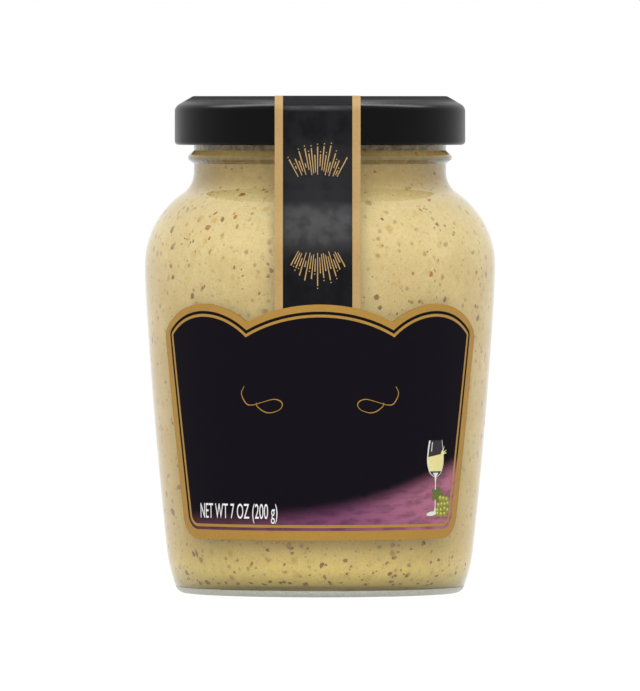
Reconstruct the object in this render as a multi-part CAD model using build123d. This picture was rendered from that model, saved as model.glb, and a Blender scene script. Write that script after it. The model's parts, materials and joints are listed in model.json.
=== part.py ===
from build123d import *

import math
import os

# A mustard jar: a round glass jar, drawn in towards its foot, with its mustard, a twist-off lid,
# paper labels at the front and the back, and a paper seal over the lid and down to the labels.
# Millimetres. The origin is on the axis where the foot stands, +Z is up and the front faces -Y.
# Each profile is drawn as (radius, height) and turned about Z.

# ---- Glass: outside ----
body_radius = 33.4              # at the belly, the widest place
belly_height = 62.5
side_top_drop = 6.0             # from the belly down to the top of the long side
side_top_inset = 0.175          # how far inside the belly's radius the side is there
side_bulge = 0.28               # of the long side, out of its straight line
heel_height = 8.5               # where the long side ends below
heel_inset = 4.1                # inside the belly's radius
heel_turn_height = 1.2          # where the heel's wide curve becomes the tight one
heel_turn_inset = 5.9
foot_inset = 7.8                # the outer edge of the ring that the jar stands on
foot_width = 1.3
push_up = 1.5                   # of the underside, at the axis
push_up_edge = 0.55             # height of the underside just inside the foot's ring
push_up_slope = 1.1             # how far in from the ring that edge is
shoulder_radius = 16.6
neck_radius = 24.07
neck_fillet = 4.8
neck_straight = 1.6             # between the fillet and the bead
bead_rise = 0.75                # height of the bead's lower slope
bead_depth = 1.2                # how far the bead stands out of the neck
bead_crest = 1.1                # height of its round crest
bead_fall = 0.7                 # height of its upper slope
finish_height = 9.35            # from the top of the bead to the rim
rim_round = 0.8

# ---- Glass: inside ----
wall = 2.8
floor_thickness = 2.7           # over the foot's ring
floor_rise = 0.7                # of the floor at the axis
inner_heel_radius = 4.2

# ---- Mustard ----
head_space = 3.4                # from the rim down to the mustard

# ---- Lid ----
lid_gap = 3.23                  # between the neck and the inside of the skirt
lid_sheet = 0.4
lid_liner = 0.6                 # the sealing ring, made in one with the lid, on the rim
lid_drop = 8.3                  # how far the skirt reaches down from the rim
lid_curl_radius = 0.75
lid_edge_width = 3.5            # sloping edge between the skirt and the top ring
lid_slope = 30                  # degrees that this edge rises inwards from level
lid_corner_round = 1.6          # radius between the skirt and the sloping edge
lid_crest_round = 1.2           # radius between the sloping edge and the top ring
lid_ring_width = 4.4            # flat ring round the top, inside the sloping edge
lid_panel_drop = 0.7            # the middle of the top lies this much lower
lid_panel_slope = 0.8

# ---- Labels ----
label_thickness = 0.15
label_top_margin = 1.05         # below the top of the long side
label_bottom_margin = 2.4       # above its lower end
label_half_top = 36.8           # half width level with the top, measured round the glass
label_taper = 6.4               # how much less the half width is at the bottom
middle_arch_radius = 31.66
side_arch_radius = 16.0
side_arch_place = 23.9          # from the label's middle, round the glass
label_top_corner = 2.6
label_bottom_corner = 4.8
outline_steps = 8               # spans in each wrapped edge

# ---- Seal ----
seal_width = 16.2
seal_shift = -0.45              # to one side of the middle, as it was stuck on
seal_thickness = 0.1
seal_contact_rise = 9.0         # from the belly up to where the seal meets the shoulder
seal_bend = 9.0                 # radius of its bend there, where its straight run leaves room
seal_bend_room = 0.8            # the most of that room which the bend takes
seal_tuck = 1.6                 # how far the seal's shell is drawn below the labels' top

# ---- Worked out ----
shoulder_centre = body_radius - shoulder_radius
fillet_centre = neck_radius + neck_fillet
neck_turn = math.acos((fillet_centre - shoulder_centre) / (shoulder_radius + neck_fillet))
neck_root = belly_height + (shoulder_radius + neck_fillet) * math.sin(neck_turn)
bead_bottom = neck_root + neck_straight
bead_top = bead_bottom + bead_rise + bead_crest + bead_fall
rim_height = bead_top + finish_height
foot_outer = body_radius - foot_inset
foot_inner = foot_outer - foot_width
heel_radius = body_radius - heel_inset
side_top_height = belly_height - side_top_drop
side_top_radius = body_radius - side_top_inset
bore_radius = neck_radius - wall
fill_height = rim_height - head_space
lid_inner = neck_radius + lid_gap
lid_outer = lid_inner + lid_sheet
lid_top = rim_height + lid_liner + lid_sheet
lid_ring_edge = lid_outer - lid_edge_width
lid_crest_place = lid_ring_edge - lid_crest_round * math.tan(math.radians(lid_slope) / 2)
lid_slope_drop = lid_edge_width * math.tan(math.radians(lid_slope))
lid_corner_drop = lid_corner_round * math.tan(math.radians(90 - lid_slope) / 2)
lid_corner_height = lid_top - lid_slope_drop - lid_corner_drop
lid_curl_height = rim_height - lid_drop + lid_curl_radius
label_top = side_top_height - label_top_margin
label_bottom = heel_height + label_bottom_margin
label_half_bottom = label_half_top - label_taper


def face_of(*edges):
    """The flat face that the edges enclose, stood up so that its second coordinate is the height."""
    return Plane.XZ * make_face([edge for edge in edges])


def turned(*edges):
    """The solid that the enclosed profile sweeps about Z."""
    return revolve(face_of(*edges), Axis.Z)


def side_radius(height):
    """Radius of the long side of the glass at this height."""
    share = (height - heel_height) / (side_top_height - heel_height)
    bulge = 4 * side_bulge * share * (1 - share)
    return heel_radius + (side_top_radius - heel_radius) * share + bulge


def side_edge(outset):
    """The long side, moved out by this much."""
    middle = (heel_height + side_top_height) / 2
    return ThreePointArc(
        (heel_radius + outset, heel_height),
        (side_radius(middle) + outset, middle),
        (side_top_radius + outset, side_top_height),
    )


def arc_about(centre, radius, start, end):
    """The arc about centre from one angle to another, in radians up from straight outwards."""
    places = [
        (centre[0] + radius * math.cos(angle), centre[1] + radius * math.sin(angle))
        for angle in (start, (start + end) / 2, end)
    ]
    return ThreePointArc(*places)


def belly_edge(outset):
    """From the top of the long side up to the belly, moved out by this much."""
    side = side_edge(outset)
    return TangentArc(side @ 1, (body_radius + outset, belly_height), tangent=side % 1)


def upper_wall(outset):
    """Belly, shoulder and neck fillet above the long side, moved out by this much."""
    shoulder = arc_about((shoulder_centre, belly_height), shoulder_radius + outset, 0, neck_turn)
    fillet = arc_about((fillet_centre, neck_root), neck_fillet - outset, neck_turn + math.pi, math.pi)
    return [belly_edge(outset), shoulder, fillet]


def outer_wall():
    """The outside of the glass, from the edge of its foot up to the outside of its rim."""
    side = side_edge(0)
    turn = (body_radius - heel_turn_inset, heel_turn_height)
    heel = TangentArc(side @ 0, turn, tangent=(side % 0) * -1)
    toe = TangentArc(heel @ 1, (foot_outer, 0), tangent=heel % 1)
    edges = [toe, heel, side, *upper_wall(0)]
    slope_top = (neck_radius + bead_depth * 0.85, bead_bottom + bead_rise)
    crest_top = (neck_radius + bead_depth * 0.7, slope_top[1] + bead_crest)
    crest = (neck_radius + bead_depth, (slope_top[1] + crest_top[1]) / 2)
    neck = Line(edges[-1] @ 1, (neck_radius, bead_bottom))
    slope = Line(neck @ 1, slope_top)
    round_top = ThreePointArc(slope_top, crest, crest_top)
    fall = Line(crest_top, (neck_radius, bead_top))
    finish = Line(fall @ 1, (neck_radius, rim_height - rim_round))
    rim = TangentArc(finish @ 1, (neck_radius - rim_round, rim_height), tangent=(0, 1))
    return [*edges, neck, slope, round_top, fall, finish, rim]


def inner_wall():
    """The inside of the glass, from the axis over the floor and up to the inside of its rim."""
    side = side_edge(-wall)
    floor_edge = (heel_radius - wall - inner_heel_radius, floor_thickness)
    floor = ThreePointArc(
        (-floor_edge[0], floor_edge[1]), (0, floor_thickness + floor_rise), floor_edge
    ).trim(0.5, 1)
    heel_top = (heel_radius - wall - 0.12 * inner_heel_radius, floor_thickness + inner_heel_radius)
    heel = TangentArc(floor_edge, heel_top, tangent=(1, 0))
    blend = Line(heel_top, side @ 0)
    neck = Line((bore_radius, neck_root), (bore_radius, rim_height - rim_round))
    return [floor, heel, blend, side, *upper_wall(-wall), neck]


def glass_jar():
    """Floor, wall, neck with its bead, and rim, in one piece."""
    outer = outer_wall()
    inner = inner_wall()
    ring = Line((foot_inner, 0), (foot_outer, 0))
    step = Line((foot_inner - push_up_slope, push_up_edge), (foot_inner, 0))
    under = ThreePointArc(
        (-foot_inner + push_up_slope, push_up_edge), (0, push_up), (foot_inner - push_up_slope, push_up_edge)
    ).trim(0.5, 1)
    axis = Line((0, push_up), (0, floor_thickness + floor_rise))
    rim = TangentArc(inner[-1] @ 1, (bore_radius + rim_round, rim_height), tangent=(0, 1))
    rim_flat = Line(rim @ 1, outer[-1] @ 1)
    return turned(axis, under, step, ring, *outer, rim_flat, rim, *inner)


def mustard():
    """What fills the jar, against the glass all over, up to its level."""
    inner = inner_wall()
    wall_edges = inner[:-1]
    neck = Line((bore_radius, neck_root), (bore_radius, fill_height))
    level = Line((bore_radius, fill_height), (0, fill_height))
    axis = Line((0, fill_height), (0, floor_thickness + floor_rise))
    return turned(*wall_edges, neck, level, axis)


def lid_corner(outset):
    """The round corner between the lid's sloping edge and its skirt, moved out by this much."""
    centre = (lid_outer - lid_corner_round, lid_corner_height)
    return arc_about(centre, lid_corner_round + outset, math.radians(90 - lid_slope), 0)


def lid_edge(outset):
    """The lid's crest, sloping edge and corner, moved out by this much."""
    centre = (lid_crest_place, lid_top - lid_crest_round)
    crest = arc_about(centre, lid_crest_round + outset, math.pi / 2, math.radians(90 - lid_slope))
    corner = lid_corner(outset)
    return [crest, Line(crest @ 1, corner @ 0), corner]


def lid():
    """A twist-off lid: a skirt with a curled edge, a sloping edge and a ring round a sunk middle."""
    ring_inner = lid_ring_edge - lid_ring_width
    panel_edge = ring_inner - lid_panel_slope
    panel_top = lid_top - lid_panel_drop
    panel_under = panel_top - lid_sheet
    outside = Polyline(
        (0, panel_top),
        (panel_edge, panel_top),
        (ring_inner, lid_top),
        (lid_crest_place, lid_top),
    )
    edge = lid_edge(0)
    under = lid_corner(-lid_sheet)
    skirt = Polyline(
        (lid_outer, lid_corner_height),
        (lid_outer, lid_curl_height),
        (lid_inner, lid_curl_height),
        (lid_inner, lid_corner_height),
    )
    inside = Polyline(
        under @ 0,
        (neck_radius + lid_liner, rim_height),
        (bore_radius - lid_liner, rim_height),
        (panel_edge - lid_sheet, panel_under),
        (0, panel_under),
        (0, panel_top),
    )
    curl = Pos(lid_outer - lid_curl_radius, lid_curl_height) * Circle(lid_curl_radius)
    return turned(outside, *edge, skirt, under, inside) + revolve(Plane.XZ * curl, Axis.Z)


def label_plan():
    """The label's outline laid flat, across by height: a wide arch between two narrow ones."""
    middle = label_top - middle_arch_radius
    side = label_top - side_arch_radius
    body = Polygon(
        (-label_half_bottom, label_bottom),
        (label_half_bottom, label_bottom),
        (label_half_top, label_top),
        (-label_half_top, label_top),
        align=None,
    )
    arches = Pos(0, middle) * Circle(middle_arch_radius)
    for place in (-side_arch_place, side_arch_place):
        arches += Pos(place, side) * Circle(side_arch_radius)
    low = Pos(0, (label_bottom + side) / 2) * Rectangle(2 * label_half_top, side - label_bottom)
    return body & (arches + low)


def rounded(plan):
    """The plan with its four outer corners rounded."""
    lowest = plan.vertices().sort_by(Axis.Y)[:2]
    plan = fillet(lowest, label_bottom_corner)
    outer = [
        corner
        for corner in plan.vertices()
        if corner.Y > label_top - side_arch_radius and abs(corner.X) > side_arch_place
    ]
    return fillet(outer, label_top_corner)


def wrapped(point):
    """Where a point of the flat plan lies, seen from the front, once the label is round the glass."""
    radius = side_radius(point.Y) + label_thickness / 2
    return (radius * math.sin(point.X / radius), point.Y)


def label_outline():
    """The outline of the wrapped label, seen from the front."""
    edges = []
    for edge in rounded(label_plan()).face().outer_wire().edges():
        places = [wrapped(edge @ (step / outline_steps)) for step in range(outline_steps + 1)]
        edges.append(Spline(*places))
    return face_of(*edges)


def label(side):
    """A label round the front of the glass, for side 1, or round the back, for side -1."""
    inner = side_edge(0)
    outer = side_edge(label_thickness)
    shell = turned(inner, Line(inner @ 1, outer @ 1), outer, Line(outer @ 0, inner @ 0))
    return shell & extrude(label_outline(), amount=side * 2 * body_radius)


def seal_bridge(start, lean, outset):
    """The seal's straight run down from start and its bend on to the shoulder, touched at this lean."""
    away = Vector(math.cos(lean), math.sin(lean))
    contact = Vector(shoulder_centre, belly_height) + away * shoulder_radius
    run = start - contact
    room = run.dot(run) / (2 * run.dot(away))
    bend = min(seal_bend, seal_bend_room * room)
    centre = contact + away * bend
    across = centre.X - start.X
    down = centre.Y - start.Y
    aside = math.asin((bend - outset) / math.hypot(across, down))
    touch = math.atan2(down, across) - aside - math.pi / 2
    curve = arc_about((centre.X, centre.Y), bend - outset, touch, lean - math.pi)
    return [Line(start, curve @ 0), curve]


def seal_path(outset):
    """The seal's run, moved out by this much, from the lid's middle to below the labels' top."""
    lean = math.asin(seal_contact_rise / shoulder_radius)
    top = Line((0, lid_top + outset), (lid_crest_place, lid_top + outset))
    edge = lid_edge(outset)
    down = Line(edge[-1] @ 1, (lid_outer + outset, lid_curl_height))
    bridge = seal_bridge(down @ 1, lean, outset)
    shoulder = arc_about((shoulder_centre, belly_height), shoulder_radius + outset, lean, 0)
    tail_share = (label_top_margin + seal_tuck) / (side_top_height - heel_height)
    tail = side_edge(outset).trim(1 - tail_share, 1)
    return [top, *edge, down, *bridge, shoulder, belly_edge(outset), tail]


def seal_band():
    """A paper strip over the lid, down across the neck and over the shoulder to the labels."""
    inner = seal_path(0)
    outer = seal_path(seal_thickness)
    ends = [Line(inner[0] @ 0, outer[0] @ 0), Line(inner[-1] @ 0, outer[-1] @ 0)]
    shell = turned(*inner, *outer, *ends)
    strip = Pos(seal_shift, 0, lid_top / 2) * Box(seal_width, 4 * body_radius, 2 * lid_top)
    labels = extrude(label_outline(), amount=2 * body_radius, both=True)
    return (shell & strip) - labels


parts = {
    "glass_jar": glass_jar,
    "mustard": mustard,
    "lid": lid,
    "front_label": lambda: label(1),
    "back_label": lambda: label(-1),
    "seal_band": seal_band,
}

os.makedirs("parts", exist_ok=True)
for name, make in parts.items():
    export_step(make(), f"parts/{name}.step")
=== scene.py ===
"""The finished mustard jar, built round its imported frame.

Lengths are in millimetres until a mesh is made. The front faces -Y, and "across" is measured round
the glass from the middle of the front.
"""

import json
import logging
import math
import random
from collections.abc import Callable, Sequence
from dataclasses import dataclass
from enum import Enum

import bpy
import numpy as np
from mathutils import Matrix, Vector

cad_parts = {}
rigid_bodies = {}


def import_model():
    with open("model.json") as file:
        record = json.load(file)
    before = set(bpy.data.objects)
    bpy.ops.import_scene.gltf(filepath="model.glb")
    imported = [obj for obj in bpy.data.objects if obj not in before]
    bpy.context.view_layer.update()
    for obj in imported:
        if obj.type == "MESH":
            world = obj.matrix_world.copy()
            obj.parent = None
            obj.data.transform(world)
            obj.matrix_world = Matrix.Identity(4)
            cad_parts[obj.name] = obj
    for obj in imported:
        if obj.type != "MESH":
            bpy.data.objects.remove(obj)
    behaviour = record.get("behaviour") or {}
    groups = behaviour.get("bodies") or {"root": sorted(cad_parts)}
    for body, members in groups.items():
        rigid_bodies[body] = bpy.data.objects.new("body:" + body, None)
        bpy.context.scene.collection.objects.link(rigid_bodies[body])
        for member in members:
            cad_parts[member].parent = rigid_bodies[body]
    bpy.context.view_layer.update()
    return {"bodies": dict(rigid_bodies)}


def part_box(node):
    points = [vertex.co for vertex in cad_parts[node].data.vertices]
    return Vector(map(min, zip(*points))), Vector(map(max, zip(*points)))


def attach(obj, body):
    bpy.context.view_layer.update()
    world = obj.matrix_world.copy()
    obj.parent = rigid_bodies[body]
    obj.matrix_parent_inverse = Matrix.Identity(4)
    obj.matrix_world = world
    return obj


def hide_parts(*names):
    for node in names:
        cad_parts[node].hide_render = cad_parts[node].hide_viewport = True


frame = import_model()

MM = 0.001
SEED = 7
LOG = logging.getLogger("mustard_jar")
WHITE = (1.0, 1.0, 1.0, 1.0)

Pair = tuple[float, float]
Colour = tuple[float, float, float, float]
Wrap = Callable[[np.ndarray, np.ndarray, np.ndarray], np.ndarray]


def srgb(red: float, green: float, blue: float) -> Colour:
    """Turn a display colour of 0 to 255 into linear light.

    Args:
        red: The red channel.
        green: The green channel.
        blue: The blue channel.

    Returns:
        The linear colour, opaque.
    """
    channels = [value / 255 for value in (red, green, blue)]
    linear = [v / 12.92 if v <= 0.04045 else ((v + 0.055) / 1.055) ** 2.4 for v in channels]
    return (linear[0], linear[1], linear[2], 1.0)


# ---- Shading ----


class Value:
    """A socket that takes part in Python arithmetic."""

    def __init__(self, shader: "Shader", socket: bpy.types.NodeSocket) -> None:
        """Keep the shader and the socket."""
        self.shader = shader
        self.socket = socket

    def _maths(self, operation: str, *operands: "Value | float") -> "Value":
        """Return the result of a Math node on one or two operands."""
        inputs = dict(enumerate(operands))
        return self.shader.value("ShaderNodeMath", {"operation": operation}, inputs)

    def __add__(self, other: "Value | float") -> "Value":
        """Add."""
        return self._maths("ADD", self, other)

    def __radd__(self, other: float) -> "Value":
        """Add, from the right."""
        return self._maths("ADD", other, self)

    def __sub__(self, other: "Value | float") -> "Value":
        """Subtract."""
        return self._maths("SUBTRACT", self, other)

    def __rsub__(self, other: float) -> "Value":
        """Subtract from a number."""
        return self._maths("SUBTRACT", other, self)

    def __mul__(self, other: "Value | float") -> "Value":
        """Multiply."""
        return self._maths("MULTIPLY", self, other)

    def __rmul__(self, other: float) -> "Value":
        """Multiply, from the right."""
        return self._maths("MULTIPLY", other, self)

    def ramp(self, low: float, high: float) -> "Value":
        """Ease from 0 to 1 while this value goes from low to high.

        Args:
            low: Where the result is 0.
            high: Where the result is 1, which may be below low.

        Returns:
            The eased value.
        """
        if low > high:
            return 1 - self.ramp(high, low)
        settings = {"interpolation_type": "SMOOTHSTEP"}
        inputs = {"Value": self, "From Min": low, "From Max": high}
        return self.shader.value("ShaderNodeMapRange", settings, inputs)


class Shader:
    """A material, or the world, and the nodes that make it."""

    def __init__(self, name: str, world: bool = False) -> None:
        """Start an empty material, or world, of this name."""
        self.owner = (bpy.data.worlds if world else bpy.data.materials).new(name)
        self.owner.use_nodes = True
        self.tree = self.owner.node_tree
        self.tree.nodes.clear()

    def node(
        self, kind: str, settings: dict | None = None, inputs: dict | None = None
    ) -> bpy.types.Node:
        """Add a node.

        Args:
            kind: The node's type.
            settings: Its properties, set before its sockets.
            inputs: A number, a colour or a Value for each socket, by name or index.

        Returns:
            The node.
        """
        made = self.tree.nodes.new(kind)
        for key, setting in (settings or {}).items():
            setattr(made, key, setting)
        for key, entry in (inputs or {}).items():
            socket = made.inputs[key]
            if isinstance(entry, Value):
                self.tree.links.new(entry.socket, socket)
            else:
                socket.default_value = entry
        return made

    def value(
        self,
        kind: str,
        settings: dict | None = None,
        inputs: dict | None = None,
        output: str | int = 0,
    ) -> Value:
        """Add a node as node() does, and return one of its outputs."""
        return Value(self, self.node(kind, settings, inputs).outputs[output])

    def place(self, stretch: tuple[float, float, float] = (1, 1, 1)) -> Value:
        """Return the place on the object, in millimetres, stretched along its axes."""
        own = self.value("ShaderNodeTexCoord", output="Object")
        scale = tuple(axis / MM for axis in stretch)
        return self.value(
            "ShaderNodeVectorMath", {"operation": "MULTIPLY"}, {0: own, 1: scale}
        )

    def axis(self, letter: str) -> Value:
        """Return one coordinate of the place, in millimetres."""
        return self.value("ShaderNodeSeparateXYZ", inputs={0: self.place()}, output=letter)

    def cloud(self, size: float, detail: float = 2.0, place: Value | None = None) -> Value:
        """Return random variation about 0.5, of this feature size and this many finer layers."""
        inputs = {"Vector": place or self.place(), "Scale": 1 / size, "Detail": detail}
        return self.value("ShaderNodeTexNoise", inputs=inputs, output="Fac")

    def cells(self, size: float) -> Value:
        """Return the distance from the middle of random cells of this size."""
        inputs = {"Vector": self.place(), "Scale": 1 / size}
        return self.value("ShaderNodeTexVoronoi", inputs=inputs, output="Distance")

    def rays(self, *names: str) -> list[Value]:
        """Return these outputs of Light Path, such as "Is Camera Ray"."""
        return [self.value("ShaderNodeLightPath", output=name) for name in names]

    def seen(self) -> Value:
        """Return 1 or more for rays that show things, direct, in metal or through glass, else 0."""
        direct, mirrored, through = self.rays(
            "Is Camera Ray", "Is Glossy Ray", "Is Transmission Ray"
        )
        return direct + mirrored + through

    def mix(self, share: Value | float, first: Value | Colour, second: Value | Colour) -> Value:
        """Return two colours mixed, with this share of the second."""
        inputs = {0: share, 6: first, 7: second}
        return self.value("ShaderNodeMix", {"data_type": "RGBA"}, inputs, 2)

    def blend(self, share: Value, first: Value, second: Value) -> Value:
        """Return two surfaces mixed, with this share of the second."""
        return self.value("ShaderNodeMixShader", inputs={0: share, 1: first, 2: second})

    def bump(self, height: Value, depth: float) -> Value:
        """Return the normal for a height of 0 to 1, where 1 is so many millimetres deep."""
        return self.value("ShaderNodeBump", inputs={"Height": height, "Distance": depth * MM})

    def principled(self, **sockets: Value | float | Colour) -> Value:
        """Return a Principled shader with these sockets, named with underscores for spaces."""
        inputs = {key.replace("_", " "): entry for key, entry in sockets.items()}
        return self.value("ShaderNodeBsdfPrincipled", inputs=inputs)

    def coat(
        self, colour: Value, rough: Value, gloss: float, relief: Value, depth: float, **more
    ) -> bpy.types.Material:
        """Finish with one opaque surface.

        Args:
            colour: Its colour.
            rough: Its roughness.
            gloss: Its specular level.
            relief: The height of its fine relief, from 0 to 1.
            depth: How much a height of 1 is, in millimetres.
            more: Other sockets, named with underscores for spaces.

        Returns:
            The material.
        """
        normal = self.bump(relief, depth)
        return self.finish(
            self.principled(
                Base_Color=colour, Roughness=rough, Specular_IOR_Level=gloss, Normal=normal, **more
            )
        )

    def finish(self, surface: Value, output: str = "ShaderNodeOutputMaterial") -> bpy.types.ID:
        """Use this surface, and return the material or the world."""
        self.node(output, inputs={"Surface": surface})
        return self.owner


# ---- Finishes ----


@dataclass(frozen=True)
class ClearGlass:
    """Moulded flint glass, faintly grey-green, with fine stipples round its foot and a dark line of
    painted shade along their top.
    """

    tint: Colour = srgb(246, 250, 247)
    index: float = 1.5
    waviness: float = 0.006
    frosted: Colour = srgb(190, 192, 186)
    painted_dark_line: Colour = srgb(92, 84, 56)
    stipple_top: float = 1.25
    painted_line_width: float = 0.2
    blur: float = 0.06
    frosted_share: float = 0.8
    painted_line_share: float = 0.6

    def material(self) -> bpy.types.Material:
        """Return the material. Lamps shine through it on to what it holds."""
        shader = Shader("clear_glass")
        waves = shader.bump(shader.cloud(9.0), self.waviness)
        glass = shader.principled(
            Base_Color=self.tint,
            Roughness=shader.cloud(4.0) * 0.03,
            IOR=self.index,
            Transmission_Weight=1.0,
            Normal=waves,
        )
        through = shader.value("ShaderNodeBsdfTransparent", inputs={0: self.tint})
        height = shader.axis("Z") + (shader.cloud(6.0) - 0.5) * 0.15
        top = self.stipple_top + self.blur
        low = height.ramp(top, self.stipple_top - self.blur)
        # Painted shade: a dark band just above the frosted foot, standing in for the dark edge that
        # refraction shows there.
        line = height.ramp(self.stipple_top + self.painted_line_width, top) - low
        grain = shader.cloud(0.4, 3.0).ramp(0.3, 0.7)
        frost = shader.mix(grain * 0.3, self.frosted, self.tint)
        stippled = shader.principled(
            Base_Color=shader.mix(low, self.painted_dark_line, frost),
            Roughness=0.35 + 0.2 * grain,
            Specular_IOR_Level=0.3,
            Normal=shader.bump(grain, 0.03),
        )
        foot = shader.blend(low * self.frosted_share + line * self.painted_line_share, glass, stippled)
        return shader.finish(shader.blend(shader.rays("Is Shadow Ray")[0], foot, through))


@dataclass(frozen=True)
class MustardPaste:
    """Pale yellow paste, mottled, with faint specks under its surface. Light and shade are painted
    into its colour by height: paler towards the shoulder, yellower and darker lower down, lighter
    at the very bottom, darker at the neck and darkest just under the lid.
    """

    light: Colour = srgb(246, 221, 156)
    middle: Colour = srgb(230, 200, 130)
    deep: Colour = srgb(186, 150, 86)
    high: Colour = srgb(238, 219, 168)
    low: Colour = srgb(226, 194, 110)
    neck: Colour = srgb(198, 166, 92)
    shaded: Colour = srgb(74, 54, 16)
    bottom: Colour = srgb(252, 224, 134)
    clear_spot: Colour = srgb(216, 176, 76)
    ghost: Colour = srgb(184, 150, 104)
    smear: Colour = srgb(186, 132, 78)
    translucence: float = 0.5
    depth: float = 2.5
    bleed: tuple[float, float, float] = (1.0, 0.75, 0.4)

    def material(self) -> bpy.types.Material:
        """Return the material."""
        shader = Shader("mustard_paste")
        wide = shader.cloud(8.0, 3.0).ramp(0.32, 0.7)
        fine = shader.cloud(1.3, 3.0).ramp(0.35, 0.7)
        grain = shader.cloud(0.35, 2.0).ramp(0.4, 0.75)
        colour = shader.mix(wide, self.middle, self.light)
        height = shader.axis("Z")
        # Painted light: paler towards the shoulder, where the overhead light falls brightest.
        colour = shader.mix(height.ramp(46.0, 72.0) * 0.7, colour, self.high)
        # Painted shade: darker and yellower lower down, where less light falls.
        colour = shader.mix(height.ramp(48.0, 12.0) * 0.6, colour, self.low)
        # Painted light: lighter at the very bottom, lifting the shade that falls near the heel.
        colour = shader.mix(height.ramp(13.0, 4.0) * 0.9, colour, self.bottom)
        # Painted shade: darker at the neck, where the lid shades it, and darkest just under the
        # lid.
        colour = shader.mix(height.ramp(74.0, 79.0) * 0.75, colour, self.neck)
        colour = shader.mix(height.ramp(82.2, 84.6) * 0.9, colour, self.shaded)
        colour = shader.mix(fine * 0.4, colour, self.middle)
        colour = shader.mix(grain * 0.22, colour, self.deep)
        rough = (shader.cloud(0.9, 3.0) - 0.5) * 0.3
        for size, width, patch, share, tone in (
            (3.4, 0.3, 6.0, 0.6, self.clear_spot),
            (1.9, 0.3, 3.1, 0.75, self.ghost),
            (3.7, 0.22, 5.0, 0.7, self.smear),
            (1.2, 0.26, 2.3, 0.5, self.ghost),
        ):
            spots = (shader.cells(size) + rough).ramp(width, width * 0.35)
            spots = spots * shader.cloud(patch).ramp(0.46, 0.6)
            colour = shader.mix(spots * share, colour, tone)
        return shader.coat(
            colour,
            0.5 + 0.2 * fine,
            0.1,
            grain,
            0.02,
            Subsurface_Weight=self.translucence,
            Subsurface_Scale=self.depth * MM,
            Subsurface_Radius=self.bleed,
        )


@dataclass(frozen=True)
class Fleck:
    """A bit of seed or husk of one colour, darker in places."""

    name: str
    body: Colour
    edge: Colour

    def material(self) -> bpy.types.Material:
        """Return the material."""
        shader = Shader(self.name)
        tone = shader.cloud(1.1, 3.0).ramp(0.35, 0.65)
        skin = shader.cloud(0.2).ramp(0.3, 0.7)
        colour = shader.mix(tone, self.body, self.edge)
        colour = shader.mix(skin * 0.35, colour, self.edge)
        return shader.coat(colour, 0.45 + 0.3 * skin, 0.15, skin, 0.02)


@dataclass(frozen=True)
class BlackEnamel:
    """Baked black enamel on tinplate, glossy, with a trace of orange peel."""

    colour: Colour = srgb(6, 5, 6)
    worn: Colour = srgb(14, 13, 14)
    top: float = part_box("lid")[1][2] / MM

    def material(self) -> bpy.types.Material:
        """Return the material, which is duller on top, where lids rub together."""
        shader = Shader("black_enamel")
        haze = shader.cloud(6.0, 4.0)
        scuffed = shader.axis("Z").ramp(self.top - 1.3, self.top - 0.3)
        colour = shader.mix(haze * 0.3, self.colour, self.worn)
        rough = 0.24 + 0.1 * haze + 0.5 * scuffed
        return shader.coat(colour, rough, 0.08, shader.cloud(0.5, 1.0), 0.004)


@dataclass(frozen=True)
class LabelPaper:
    """Black printed paper, which may turn purple towards its lower right."""

    name: str
    black: Colour = srgb(18, 15, 22)
    worn: Colour = srgb(34, 30, 38)
    plum: Colour = srgb(98, 64, 76)
    purple: Colour = srgb(120, 69, 103)
    pink: Colour = srgb(172, 110, 132)
    purple_field: bool = True
    field_left: float = -22.9
    field_width: float = 47.7
    field_low: float = 15.4
    field_rise: float = 9.7
    fade: float = 4.6

    def material(self) -> bpy.types.Material:
        """Return the material."""
        shader = Shader(self.name)
        fibre = shader.cloud(0.3, 3.0, shader.place((1.0, 1.0, 0.4)))
        colour = shader.mix(fibre * 0.12, self.black, self.worn)
        if self.purple_field:
            across = shader.axis("X")
            share = (across - self.field_left) * (1 / self.field_width)
            edge = self.field_low + self.field_rise * share * share * (0.35 + 0.65 * share)
            cloth = shader.cloud(1.6, 4.0, shader.place((0.5, 0.5, 1.5)))
            tint = shader.mix(across.ramp(-24.0, 2.0), self.plum, self.purple)
            tint = shader.mix(across.ramp(0.0, 26.0), tint, self.pink)
            tint = shader.mix(cloth.ramp(0.4, 0.7) * 0.4, tint, self.black)
            depth = edge - shader.axis("Z") + (cloth - 0.5) * 1.2
            colour = shader.mix(depth.ramp(-0.3 * self.fade, 0.7 * self.fade), colour, tint)
        return shader.coat(colour, 0.5 + 0.12 * fibre, 0.02, fibre, 0.006)


@dataclass(frozen=True)
class Ink:
    """An even printed ink with the faint grain of the paper under it."""

    name: str
    colour: Colour
    shade: Colour
    metallic: float = 0.0
    roughness: float = 0.45
    gloss: float = 0.15
    grain: float = 0.4

    def material(self) -> bpy.types.Material:
        """Return the material."""
        shader = Shader(self.name)
        patches = shader.cloud(3.0, 3.0)
        grain = shader.cloud(self.grain, 2.0).ramp(0.3, 0.7)
        colour = shader.mix(patches * 0.35 + grain * 0.25, self.colour, self.shade)
        rough = self.roughness + 0.1 * grain
        return shader.coat(colour, rough, self.gloss, grain, 0.004, Metallic=self.metallic)


@dataclass(frozen=True)
class SatinBlack:
    """Black satin-coated paper with a soft sheen."""

    colour: Colour = srgb(8, 7, 10)
    worn: Colour = srgb(17, 16, 20)

    def material(self) -> bpy.types.Material:
        """Return the material."""
        shader = Shader("satin_black")
        streak = shader.cloud(0.8, 3.0, shader.place((1.0, 1.0, 0.3)))
        colour = shader.mix(streak * 0.25, self.colour, self.worn)
        creases = shader.cloud(2.4, 5.0).ramp(0.35, 0.65)
        return shader.coat(colour, 0.24 + 0.14 * streak + 0.2 * creases, 0.08, streak, 0.006)


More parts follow.
